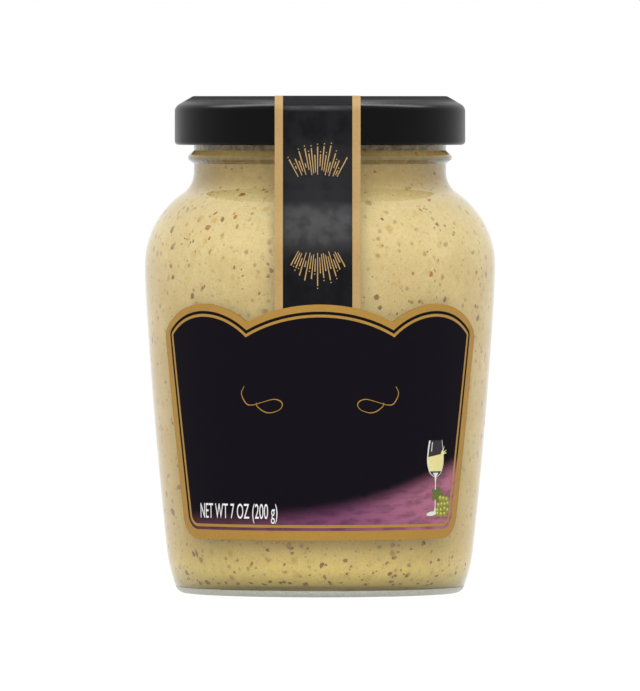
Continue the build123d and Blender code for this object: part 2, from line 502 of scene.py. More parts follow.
class Finish(Enum):
    """The finishes of the jar's pieces."""

    GLASS = ClearGlass()
    MUSTARD = MustardPaste()
    ENAMEL = BlackEnamel()
    FRONT_PAPER = LabelPaper("front_label_paper")
    BACK_PAPER = LabelPaper("back_label_paper", purple_field=False)
    SEAL_PAPER = SatinBlack()
    LABEL_GOLD = Ink("label_gold", srgb(174, 134, 62), srgb(154, 115, 48), 0.15, 0.45, 0.2)
    SEAL_GOLD = Ink("seal_gold", srgb(184, 152, 100), srgb(160, 126, 74), 0.2, 0.36, 0.4)
    WHITE_INK = Ink("white_ink", srgb(240, 238, 240), srgb(222, 216, 222))
    SHADOW_INK = Ink("shadow_ink", srgb(30, 20, 34), srgb(22, 16, 26))
    PALE_INK = Ink("glass_drawing_ink", srgb(226, 228, 218), srgb(196, 200, 190))
    DIM_INK = Ink("glass_shade_ink", srgb(52, 48, 54), srgb(34, 30, 36))
    WINE_INK = Ink("wine_ink", srgb(228, 220, 158), srgb(206, 192, 118))
    GRAPE_INK = Ink("grape_ink", srgb(150, 152, 62), srgb(108, 112, 40))
    GRAPE_LIGHT = Ink("grape_light_ink", srgb(206, 202, 112), srgb(176, 178, 88))
    LEAF_INK = Ink("leaf_ink", srgb(104, 118, 52), srgb(58, 72, 32))
    BROWN_FLECK = Fleck("brown_fleck", srgb(204, 152, 96), srgb(160, 108, 60))
    OLIVE_FLECK = Fleck("olive_fleck", srgb(186, 160, 104), srgb(146, 122, 70))
    ORANGE_FLECK = Fleck("orange_fleck", srgb(216, 146, 74), srgb(184, 104, 42))
    PALE_FLECK = Fleck("pale_fleck", srgb(206, 176, 104), srgb(188, 150, 80))

    def dress(self, piece: bpy.types.Object) -> None:
        """Give the piece this finish, made once and shared."""
        made = bpy.data.materials.get(self.name) or self.value.material()
        made.name = self.name
        piece.data.materials.clear()
        piece.data.materials.append(made)


# ---- Shapes ----


class Run:
    """A line of (radius, height) points that grows by straight and round stretches."""

    def __init__(self, start: Pair, heading: Pair = (1.0, 0.0)) -> None:
        """Start at a point, going in a direction."""
        self.points = [np.array(start, float)]
        self.heading = np.array(heading, float)

    def line(self, *ends: Pair) -> "Run":
        """Go straight to each end in turn."""
        for end in ends:
            place = np.array(end, float)
            self.heading = place - self.points[-1]
            self.points.append(place)
        return self

    def curve(self, end: Pair, heading: Pair | None = None, steps: int = 14) -> "Run":
        """Go to the end along the arc that leaves in the heading.

        Args:
            end: Where the arc ends.
            heading: Its first direction, or None to go on smoothly.
            steps: How many spans it gets.

        Returns:
            The run itself.
        """
        start = self.points[-1]
        ahead = self.heading if heading is None else np.array(heading, float)
        ahead = ahead / np.linalg.norm(ahead)
        aside = np.array([-ahead[1], ahead[0]])
        chord = np.array(end, float) - start
        lift = chord @ aside
        centre = start + aside * (chord @ chord) / (2 * lift)
        turn = 2 * math.atan2(lift, chord @ ahead)
        for step in range(1, steps + 1):
            self.points.append(centre + turned(start - centre, turn * step / steps))
        self.heading = turned(ahead, turn)
        return self

    def about(
        self, centre: Pair, radius: float, start: float, end: float, steps: int = 18
    ) -> "Run":
        """Add the arc about a centre.

        Args:
            centre: The arc's centre.
            radius: Its radius.
            start: Its first angle, in radians up from straight outwards.
            end: Its last angle.
            steps: How many spans it gets.

        Returns:
            The run itself.
        """
        for angle in np.linspace(start, end, steps + 1)[1:]:
            spoke = np.array([math.cos(angle), math.sin(angle)])
            self.points.append(np.array(centre) + radius * spoke)
        self.heading = math.copysign(1, end - start) * np.array([-spoke[1], spoke[0]])
        return self

    def array(self) -> np.ndarray:
        """Return the points, one to a row."""
        return np.array(self.points)


def turned(spoke: np.ndarray, angle: float) -> np.ndarray:
    """Return the flat vector turned by an angle in radians."""
    cosine, sine = math.cos(angle), math.sin(angle)
    return np.array([cosine * spoke[0] - sine * spoke[1], sine * spoke[0] + cosine * spoke[1]])


def offset(points: np.ndarray, distance: float) -> np.ndarray:
    """Move a line of points sideways.

    Args:
        points: The points, one to a row.
        distance: How far to the right of their direction they go.

    Returns:
        The moved points.
    """
    along = np.gradient(points, axis=0)
    along /= np.linalg.norm(along, axis=1)[:, None]
    return points + distance * np.column_stack([along[:, 1], -along[:, 0]])


@dataclass
class Solid:
    """Vertices in millimetres and the faces between them."""

    vertices: np.ndarray
    faces: list[Sequence[int]]

    def piece(self, name: str, finish: Finish, slot: str, *nodes: str) -> None:
        """Make the mesh and hand it over to the frame.

        Args:
            name: The piece's name.
            finish: What it is finished in.
            slot: The record's material slot; not used.
            nodes: The CAD nodes that it stands for.
        """
        mesh = bpy.data.meshes.new(name)
        mesh.from_pydata((self.vertices * MM).tolist(), [], [list(face) for face in self.faces])
        mesh.validate()
        mesh.shade_smooth()
        mesh.set_sharp_from_angle(angle=math.radians(42))
        made = staged(name, mesh)
        finish.dress(made)
        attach(made, next(iter(frame["bodies"])))
        if nodes:
            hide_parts(*nodes)
        LOG.info("%s: %d faces in %s", name, len(mesh.polygons), finish.name.lower())


def staged(name: str, data: bpy.types.ID) -> bpy.types.Object:
    """Return a new object of this name and data, in the scene."""
    made = bpy.data.objects.new(name, data)
    bpy.context.scene.collection.objects.link(made)
    return made


def joined(solids: Sequence[Solid]) -> Solid:
    """Put many shapes together in one."""
    starts = np.cumsum([0] + [len(solid.vertices) for solid in solids])
    faces = [
        [index + start for index in face]
        for solid, start in zip(solids, starts)
        for face in solid.faces
    ]
    return Solid(np.vstack([solid.vertices for solid in solids]), faces)


def lathe(profile: np.ndarray, turns: int = 256) -> Solid:
    """Turn a profile about the jar's axis.

    Args:
        profile: (radius, height) points from the axis, out, up and back to the axis.
        turns: How many steps go round.

    Returns:
        The closed shape.
    """
    angles = np.linspace(0, 2 * math.pi, turns, endpoint=False)
    rows: list[list[int]] = []
    vertices: list[tuple[float, float, float]] = []
    for radius, height in profile:
        first = len(vertices)
        if radius < 1e-6:
            vertices.append((0.0, 0.0, height))
            rows.append([first] * turns)
        else:
            vertices += [(radius * math.cos(a), radius * math.sin(a), height) for a in angles]
            rows.append(list(range(first, first + turns)))
    faces = []
    for low, high in zip(rows, rows[1:]):
        for step in range(turns):
            after = (step + 1) % turns
            corners = [low[step], low[after], high[after], high[step]]
            faces.append(list(dict.fromkeys(corners)))
    return Solid(np.array(vertices), faces)


def slab(under: np.ndarray, over: np.ndarray, ring: bool = False) -> Solid:
    """Close the space between two grids of points.

    Args:
        under: The hidden side, as rows by columns by 3.
        over: The shown side, as many points.
        ring: True where the last row joins the first again.

    Returns:
        The closed shape.
    """
    rows, columns = over.shape[:2]
    count = rows * columns
    number = np.arange(count).reshape(rows, columns)
    if ring:
        number = np.vstack([number, number[:1]])
    quads = np.stack([number[:-1, :-1], number[:-1, 1:], number[1:, 1:], number[1:, :-1]], -1)
    shown = quads.reshape(-1, 4)
    hidden = shown[:, ::-1] + count
    edges = [(number[:, 0], False), (number[:, -1], True)]
    if not ring:
        edges += [(number[0], True), (number[-1], False)]
    walls = []
    for edge, forward in edges:
        first, second = (edge[:-1], edge[1:]) if forward else (edge[1:], edge[:-1])
        walls.append(np.stack([first, first + count, second + count, second], -1))
    faces = np.vstack([shown, hidden, *walls])
    vertices = np.vstack([over.reshape(-1, 3), under.reshape(-1, 3)])
    return Solid(vertices, faces.tolist())


def sheet(grid: np.ndarray, wrap: Wrap, low: float, high: float, ring: bool = False) -> Solid:
    """Wrap a flat grid on to a surface as a thin closed shape.

    Args:
        grid: Rows by columns by (across, height).
        wrap: Where across, height and lift lie on the object.
        low: The lift of its hidden side.
        high: The lift of its shown side.
        ring: True where the last row joins the first again.

    Returns:
        The closed shape.
    """
    sides = []
    for lift in (low, high):
        flat = grid.reshape(-1, 2)
        wrapped = wrap(flat[:, 0], flat[:, 1], np.full(len(flat), lift))
        sides.append(wrapped.reshape(*grid.shape[:2], 3))
    return slab(sides[0], sides[1], ring)


def stroke(points: np.ndarray, widths: np.ndarray) -> np.ndarray:
    """Give a flat line its width.

    Args:
        points: The line's points, one to a row.
        widths: Its width at each.

    Returns:
        The grid of its two edges.
    """
    half = widths[:, None] / 2
    left = offset(points, -1.0) - points
    return np.stack([points - left * half, points + left * half], axis=1)


def spline(corners: Sequence[Pair], steps: int = 8) -> np.ndarray:
    """Run a smooth line through points.

    Args:
        corners: The points.
        steps: How many spans each gap gets.

    Returns:
        The line's points.
    """
    known = np.array(corners, float)
    ends = np.vstack([2 * known[0] - known[1], known, 2 * known[-1] - known[-2]])
    share = np.linspace(0, 1, steps, endpoint=False)[:, None]
    spans = []
    for before, start, end, after in zip(ends, ends[1:], ends[2:], ends[3:]):
        line = 2 * start + (end - before) * share
        line = line + (2 * before - 5 * start + 4 * end - after) * share**2
        line = line + (3 * start - before - 3 * end + after) * share**3
        spans.append(line / 2)
    return np.vstack([*spans, known[-1:]])


def disc(middle: Pair, rim: np.ndarray) -> np.ndarray:
    """Return the grid of a flat shape from its middle to its rim, given about the middle."""
    return np.array(middle) + rim[:, None, :] * np.array([0.02, 0.55, 1.0])[None, :, None]


def blob(middle: Pair, half_width: float, half_height: float, lean: float = 0.0) -> np.ndarray:
    """Return the grid of a flat oval from its middle to its edge."""
    angles = np.linspace(0, 2 * math.pi, 20, endpoint=False)
    cosine, sine = math.cos(lean), math.sin(lean)
    oval = np.column_stack([half_width * np.cos(angles), half_height * np.sin(angles)])
    return disc(middle, oval @ np.array([[cosine, sine], [-sine, cosine]]))


# ---- The glass and what it holds ----


@dataclass(frozen=True)
class GlassJar:
    """The round glass jar: its sizes, its profiles and its mesh."""

    body_radius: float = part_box("glass_jar")[1][0] / MM
    belly_height: float = 62.5
    side_top_drop: float = 6.0
    side_top_inset: float = 0.175
    side_bulge: float = 0.28
    heel_height: float = 8.5
    heel_inset: float = 4.1
    heel_turn_height: float = 1.2
    heel_turn_inset: float = 5.9
    foot_inset: float = 7.8
    foot_width: float = 1.3
    push_up: float = 1.5
    push_up_edge: float = 0.55
    push_up_slope: float = 1.1
    shoulder_radius: float = 16.6
    neck_radius: float = 24.07
    neck_fillet: float = 4.8
    neck_straight: float = 1.6
    bead_rise: float = 0.75
    bead_depth: float = 1.2
    bead_crest: float = 1.1
    bead_fall: float = 0.7
    bead_low_share: float = 0.85
    bead_high_share: float = 0.7
    rim_height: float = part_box("glass_jar")[1][2] / MM
    rim_round: float = 0.8
    wall: float = 2.8
    floor_thickness: float = 2.7
    floor_rise: float = 0.7
    inner_heel_radius: float = 4.2
    inner_heel_lean: float = 0.12

    @property
    def side_top(self) -> float:
        """Return the height of the long side's top."""
        return self.belly_height - self.side_top_drop

    @property
    def heel_radius(self) -> float:
        """Return the radius at the long side's lower end."""
        return self.body_radius - self.heel_inset

    @property
    def foot_radius(self) -> float:
        """Return the outer radius of the ring that the jar stands on."""
        return self.body_radius - self.foot_inset

    @property
    def shoulder_centre(self) -> float:
        """Return how far the shoulder's centre is from the axis."""
        return self.body_radius - self.shoulder_radius

    @property
    def neck_turn(self) -> float:
        """Return the angle at which the shoulder meets the neck's fillet."""
        gap = self.neck_radius + self.neck_fillet - self.shoulder_centre
        return math.acos(gap / (self.shoulder_radius + self.neck_fillet))

    @property
    def neck_root(self) -> float:
        """Return the height at which the neck's fillet ends."""
        reach = self.shoulder_radius + self.neck_fillet
        return self.belly_height + reach * math.sin(self.neck_turn)

    def side_radius(self, height: np.ndarray) -> np.ndarray:
        """Return the radius of the long side at each height."""
        share = (height - self.heel_height) / (self.side_top - self.heel_height)
        top = self.body_radius - self.side_top_inset
        straight = self.heel_radius + (top - self.heel_radius) * share
        return straight + 4 * self.side_bulge * share * (1 - share)

    def side(self, outset: float, steps: int = 24) -> np.ndarray:
        """Return the long side from its lower end up, moved out."""
        heights = np.linspace(self.heel_height, self.side_top, steps + 1)
        return np.column_stack([self.side_radius(heights) + outset, heights])

    def upper(self, outset: float) -> np.ndarray:
        """Return belly, shoulder and neck fillet above the long side, moved out."""
        side = self.side(outset)
        shoulder = (self.shoulder_centre, self.belly_height)
        fillet = (self.neck_radius + self.neck_fillet, self.neck_root)
        run = Run(side[-1])
        run.curve((self.body_radius + outset, self.belly_height), side[-1] - side[-2], 8)
        run.about(shoulder, self.shoulder_radius + outset, 0, self.neck_turn, 30)
        run.about(fillet, self.neck_fillet - outset, self.neck_turn + math.pi, math.pi, 16)
        return run.array()[1:]

    def outer(self) -> np.ndarray:
        """Return the outside, from the edge of the foot up to the rim."""
        neck = self.neck_radius
        side = self.side(0)
        upper = self.upper(0)
        turn = (self.body_radius - self.heel_turn_inset, self.heel_turn_height)
        low = Run(side[0]).curve(turn, side[0] - side[1]).curve((self.foot_radius, 0))
        bottom = self.neck_root + self.neck_straight
        under = (neck + self.bead_depth * self.bead_low_share, bottom + self.bead_rise)
        over = (neck + self.bead_depth * self.bead_high_share, under[1] + self.bead_crest)
        high = Run(upper[-1]).line((neck, bottom), under).curve(over, (0.5, 1), 10)
        high.line((neck, over[1] + self.bead_fall), (neck, self.rim_height - self.rim_round))
        high.curve((neck - self.rim_round, self.rim_height), (0, 1), 6)
        return np.vstack([low.array()[:0:-1], side, upper, high.array()[1:]])

    def inner(self, outset: float = 0.0) -> np.ndarray:
        """Return the inside from the axis, over the floor and up to the neck, moved out."""
        inset = outset - self.wall
        floor, heel = self.floor_thickness, self.inner_heel_radius
        edge = (self.heel_radius - self.wall - heel, floor - outset)
        heel_top = (self.heel_radius + inset - self.inner_heel_lean * heel, floor + heel)
        run = Run((0, floor + self.floor_rise - outset)).curve(edge, (1, 0), 10)
        run.curve(heel_top, (1, 0), 14)
        return np.vstack([run.array(), self.side(inset), self.upper(inset)])

    def build(self) -> None:
        """Make the glass."""
        ring = self.foot_radius - self.foot_width
        under = Run((0, self.push_up))
        under.curve((ring - self.push_up_slope, self.push_up_edge), (1, 0), 10).line((ring, 0))
        bore = self.neck_radius - self.wall
        rim = Run((self.neck_radius - self.rim_round, self.rim_height))
        rim.line((bore + self.rim_round, self.rim_height))
        rim.curve((bore, self.rim_height - self.rim_round), (-1, 0), 6)
        foot = [(self.foot_radius, 0.0)]
        inside = self.inner()[::-1]
        profile = np.vstack([under.array(), foot, self.outer(), rim.array()[1:], inside])
        lathe(profile).piece("clear_jar", Finish.GLASS, "clear_glass", "glass_jar")


@dataclass(frozen=True)
class Swarm:
    """Many like bits near the mustard's surface."""

    name: str
    finish: Finish
    count: int
    sizes: Pair
    heights: Pair
    flatness: float = 0.5


@dataclass(frozen=True)
class Mustard:
    """The mustard and the bits of seed that show in it."""

    jar: GlassJar
    level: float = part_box("mustard")[1][2] / MM
    into_wall: float = 0.06
    fleck_lift: float = 0.05
    fine_size: float = 0.8
    swarms: tuple[Swarm, ...] = (
        Swarm("fine_brown_flecks", Finish.BROWN_FLECK, 850, (0.2, 0.55), (3.2, 84.0)),
        Swarm("fine_olive_flecks", Finish.OLIVE_FLECK, 600, (0.2, 0.55), (3.2, 84.0)),
        Swarm("orange_flecks", Finish.ORANGE_FLECK, 270, (0.35, 1.5), (3.2, 84.0)),
        Swarm("pale_flecks", Finish.PALE_FLECK, 700, (0.4, 1.3), (3.2, 84.0)),
        Swarm("brown_husks", Finish.BROWN_FLECK, 290, (0.55, 2.2), (3.2, 82.0)),
        Swarm("olive_seeds", Finish.OLIVE_FLECK, 90, (0.7, 2.0), (3.2, 80.0), 0.7),
        Swarm("settled_seeds", Finish.OLIVE_FLECK, 44, (1.0, 2.0), (2.75, 3.3), 0.8),
        Swarm("settled_husks", Finish.BROWN_FLECK, 60, (0.6, 1.4), (3.1, 7.0), 0.7),
    )

    def wall_line(self) -> np.ndarray:
        """Return the mustard's profile, a little way into the glass."""
        bore = self.jar.neck_radius - self.jar.wall + self.into_wall
        return np.vstack([self.jar.inner(self.into_wall), [(bore, self.level)]])

    def bit(self, swarm: Swarm, chance: random.Random, line: np.ndarray, ball: Solid) -> Solid:
        """Make one bit.

        Args:
            swarm: What kind it is.
            chance: Where random numbers come from.
            line: The mustard's profile.
            ball: The rough ball that it is shaped from.

        Returns:
            The bit, in its place.
        """
        height = chance.uniform(*swarm.heights)
        rising = line[np.argmin(line[:, 1]) :]
        radius = float(np.interp(height, rising[:, 1], rising[:, 0]))
        below, above = np.interp([height - 0.1, height + 0.1], rising[:, 1], rising[:, 0])
        angle = chance.uniform(0, 2 * math.pi)
        low, high = swarm.sizes
        length = low + (high - low) * chance.random() ** 2.4
        width = length * chance.uniform(0.5, 0.95)
        thick = width * swarm.flatness
        spin = chance.uniform(0, math.pi)
        rough = np.array([[chance.uniform(0.82, 1.14)] for _ in ball.vertices])
        local = ball.vertices * rough * np.array([length, width, thick]) / 2
        cosine, sine = math.cos(spin), math.sin(spin)
        local = local @ np.array([[cosine, sine, 0], [-sine, cosine, 0], [0, 0, 1]])
        local[:, 2] = np.minimum(local[:, 2] - thick * 0.3, self.fleck_lift)
        out = np.array([0.2, below - above])
        out = out / np.linalg.norm(out)
        radial = np.array([math.cos(angle), math.sin(angle), 0])
        around = np.array([-math.sin(angle), math.cos(angle), 0])
        normal = radial * out[0] + np.array([0, 0, out[1]])
        upward = np.cross(normal, around)
        place = radial * radius + np.array([0, 0, height])
        return Solid(place + local @ np.array([around, upward, normal]), ball.faces)

    def build(self) -> None:
        """Make the mustard and its bits."""
        line = self.wall_line()
        profile = np.vstack([line, [(0, self.level)]])
        lathe(profile, 192).piece("mustard_fill", Finish.MUSTARD, "mustard", "mustard")
        balls = {}
        for detail in (1, 2):
            bpy.ops.mesh.primitive_ico_sphere_add(subdivisions=detail, radius=1)
            source = bpy.context.object
            points = np.array([vertex.co for vertex in source.data.vertices])
            balls[detail] = Solid(points, [list(face.vertices) for face in source.data.polygons])
            bpy.data.objects.remove(source)
        chance = random.Random(SEED)
        for swarm in self.swarms:
            ball = balls[2 if swarm.sizes[1] > self.fine_size else 1]
            bits = [self.bit(swarm, chance, line, ball) for _ in range(swarm.count)]
            joined(bits).piece(swarm.name, swarm.finish, "mustard")


# ---- The lid ----


@dataclass(frozen=True)
class Lid:
    """The black twist-off lid."""

    jar: GlassJar
    outer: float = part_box("lid")[1][0] / MM
    top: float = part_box("lid")[1][2] / MM
    bottom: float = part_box("lid")[0][2] / MM
    sheet: float = 0.4
    liner: float = 0.6
    curl: float = 0.75
    edge_width: float = 3.5
    slope: float = math.radians(30)
    corner_round: float = 1.6
    crest_round: float = 1.2
    ring_width: float = 4.4
    panel_drop: float = 0.7
    panel_slope: float = 0.8
    ring_round: float = 0.25
    panel_round: float = 0.3
    panel_round_rise: float = 0.06

    @property
    def ring_edge(self) -> float:
        """Return the outer radius of the flat ring on top."""
        return self.outer - self.edge_width

    @property
    def crest_place(self) -> float:
        """Return how far from the axis the ring's round crest starts."""
        return self.ring_edge - self.crest_round * math.tan(self.slope / 2)

    @property
    def corner_height(self) -> float:
        """Return the height at which the skirt ends and its round corner starts."""
        drop = self.edge_width * math.tan(self.slope)
        return self.top - drop - self.corner_round * math.tan(math.pi / 4 - self.slope / 2)

    def edge(self) -> np.ndarray:
        """Return the crest, sloping edge and corner, from the top ring down to the skirt."""
        lean = math.pi / 2 - self.slope
        crest = (self.crest_place, self.top - self.crest_round)
        corner = (self.outer - self.corner_round, self.corner_height)
        spoke = np.array([math.cos(lean), math.sin(lean)])
        run = Run((self.crest_place, self.top))
        run.about(crest, self.crest_round, math.pi / 2, lean, 6)
        run.line(tuple(np.array(corner) + self.corner_round * spoke))
        return run.about(corner, self.corner_round, lean, 0, 14).array()

    def build(self) -> None:
        """Make the lid."""
        ring_inner = self.ring_edge - self.ring_width
        panel_edge = ring_inner - self.panel_slope
        panel = self.top - self.panel_drop
        seat = self.jar.rim_height
        inside = self.outer - self.sheet
        curl_height = self.bottom + self.curl
        run = Run((0, panel - self.sheet)).line(
            (panel_edge - self.sheet, panel - self.sheet),
            (self.jar.neck_radius - self.jar.wall - self.liner, seat),
            (self.jar.neck_radius + self.liner, seat),
            (inside, self.corner_height),
            (inside, curl_height + self.curl),
        )
        run.about((self.outer - self.curl, curl_height), self.curl, 0.6 * math.pi, 2 * math.pi, 20)
        run.line(*(tuple(point) for point in self.edge()[::-1]))
        run.line((ring_inner + self.ring_round, self.top))
        run.curve((panel_edge + self.panel_round, panel + self.panel_round_rise), (-1, 0), 6)
        run.line((panel_edge, panel), (0, panel))
        lathe(run.array()).piece("twist_lid", Finish.ENAMEL, "black_lid", "lid")


# ---- The labels ----


@dataclass(frozen=True)
class Label:
    """A paper label with an arched top and a gold border, wrapped round the glass."""

    jar: GlassJar
    node: str
    paper: Finish
    facing: float
    thickness: float = 0.15
    top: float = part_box("front_label")[1][2] / MM
    bottom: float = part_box("front_label")[0][2] / MM
    half_top: float = 36.8
    taper: float = 6.4
    middle_arch: float = 31.66
    side_arch: float = 16.0
    side_place: float = 23.9
    top_corner: float = 2.6
    bottom_corner: float = 4.8
    print_lift: float = 0.02
    gold_width: float = 1.33
    gold_bottom: float = 1.8
    line_width: float = 0.57
    inner_gold: float = 0.52
    least_corner: float = 0.35

    def wrap(self, across: np.ndarray, height: np.ndarray, lift: np.ndarray) -> np.ndarray:
        """Return where places on the flat label lie on the jar."""
        radius = self.jar.side_radius(height)
        angle = across / (radius + self.thickness / 2)
        out = radius + lift
        return np.column_stack(
            [self.facing * out * np.sin(angle), -self.facing * out * np.cos(angle), height]
        )

    def half_outline(self, inset: float, rise: float) -> list[np.ndarray]:
        """Return the stretches of the right half of an outline inside the label's edge.

        Args:
            inset: How far inside the top.
            rise: How far inside the sides and the bottom.

        Returns:
            The middle arch, side arch, top corner, side, bottom corner and bottom, in order.
        """
        middle_height = self.top - self.middle_arch
        side_height = self.top - self.side_arch
        large, small = self.middle_arch - inset, self.side_arch - inset
        between = np.array([self.side_place, side_height - middle_height])
        distance = float(np.linalg.norm(between))
        along = (distance**2 + large**2 - small**2) / (2 * distance)
        aside = math.sqrt(large**2 - along**2)
        ahead = between / distance
        arch = np.array([0, middle_height])
        valley = arch + ahead * along + np.array([-ahead[1], ahead[0]]) * aside

        foot = np.array([self.half_top - self.taper, self.bottom])
        slope = np.array([self.half_top, self.top]) - foot
        slope = slope / np.linalg.norm(slope)
        inward = np.array([-slope[1], slope[0]])
        centre = np.array([self.side_place, side_height])

        corner = max(self.top_corner - inset, self.least_corner)
        base = foot + inward * (rise + corner) - centre
        ahead = base @ slope
        reach = math.sqrt(ahead**2 - base @ base + (small - corner) ** 2) - ahead
        top_centre = centre + base + slope * reach
        touch = (top_centre - centre) / np.linalg.norm(top_centre - centre)

        low = max(self.bottom_corner - rise, self.least_corner)
        low_base = foot + inward * (rise + low)
        low_centre = low_base + slope * (self.bottom + rise + low - low_base[1]) / slope[1]

        def angle(spoke: np.ndarray) -> float:
            """Return the spoke's angle."""
            return math.atan2(spoke[1], spoke[0])

        def arc(
            middle: np.ndarray, radius: float, start: float, end: float, steps: int
        ) -> np.ndarray:
            """Return the points of an arc."""
            angles = np.linspace(start, end, steps)
            return middle + radius * np.column_stack([np.cos(angles), np.sin(angles)])

        side_start = top_centre - inward * corner
        side_end = low_centre - inward * low
        share = np.linspace(0, 1, 24)[:, None]
        return [
            arc(arch, large, math.pi / 2, angle(valley - arch), 32),
            arc(centre, small, angle(valley - centre), angle(touch), 40),
            arc(top_centre, corner, angle(touch), angle(-inward), 12),
            side_start + (side_end - side_start) * share,
            arc(low_centre, low, angle(-inward), -math.pi / 2, 16),
            np.array([low_centre[0], self.bottom + rise]) * (1 - share)
            + np.array([0, self.bottom + rise]) * share,
        ]

    def outline(self, inset: float, rise: float) -> np.ndarray:
        """Return a whole outline inside the label's edge, once round."""
        right = np.vstack(self.half_outline(inset, rise))
        left = right[::-1] * np.array([-1, 1])
        return np.vstack([right, left[1:-1]])

    def band(self, outer: Pair, inner: Pair, name: str, finish: Finish) -> None:
        """Print the strip between two outlines, each given by its inset and rise."""
        grid = np.stack([self.outline(*inner), self.outline(*outer)], axis=1)
        low, high = self.thickness - self.print_lift, self.thickness + self.print_lift
        sheet(grid, self.wrap, low, high, True).piece(name, finish, "label_paper")

    def paper_grid(self) -> np.ndarray:
        """Return the paper's flat grid, in columns from edge to edge."""
        right = np.vstack(self.half_outline(0, 0))
        far = int(np.argmax(right[:, 0]))
        upper, lower = right[: far + 1], right[far:][::-1]
        upper = upper[np.concatenate([[True], np.diff(upper[:, 0]) > 1e-6])]
        bottoms = np.interp(upper[:, 0], lower[:, 0], lower[:, 1])
        share = np.linspace(0, 1, 40)
        heights = bottoms[:, None] + (upper[:, 1] - bottoms)[:, None] * share
        across = np.repeat(upper[:, :1], len(share), axis=1)
        half = np.stack([across, heights], axis=-1)
        mirrored = half[:0:-1] * np.array([-1, 1])
        return np.vstack([mirrored, half])[:, ::-1]

    def build(self) -> None:
        """Make the paper and its border."""
        kind = "front" if self.facing > 0 else "back"
        sheet(self.paper_grid(), self.wrap, 0.0, self.thickness).piece(
            f"{kind}_label_paper", self.paper, "label_paper", self.node
        )
        gold = (self.gold_width, self.gold_bottom)
        line = (gold[0] + self.line_width, gold[1] + self.line_width)
        inner = (line[0] + self.inner_gold, line[1] + self.inner_gold)
        self.band((0.0, 0.0), gold, f"{kind}_wide_gold_border", Finish.LABEL_GOLD)
        self.band(line, inner, f"{kind}_thin_gold_border", Finish.LABEL_GOLD)


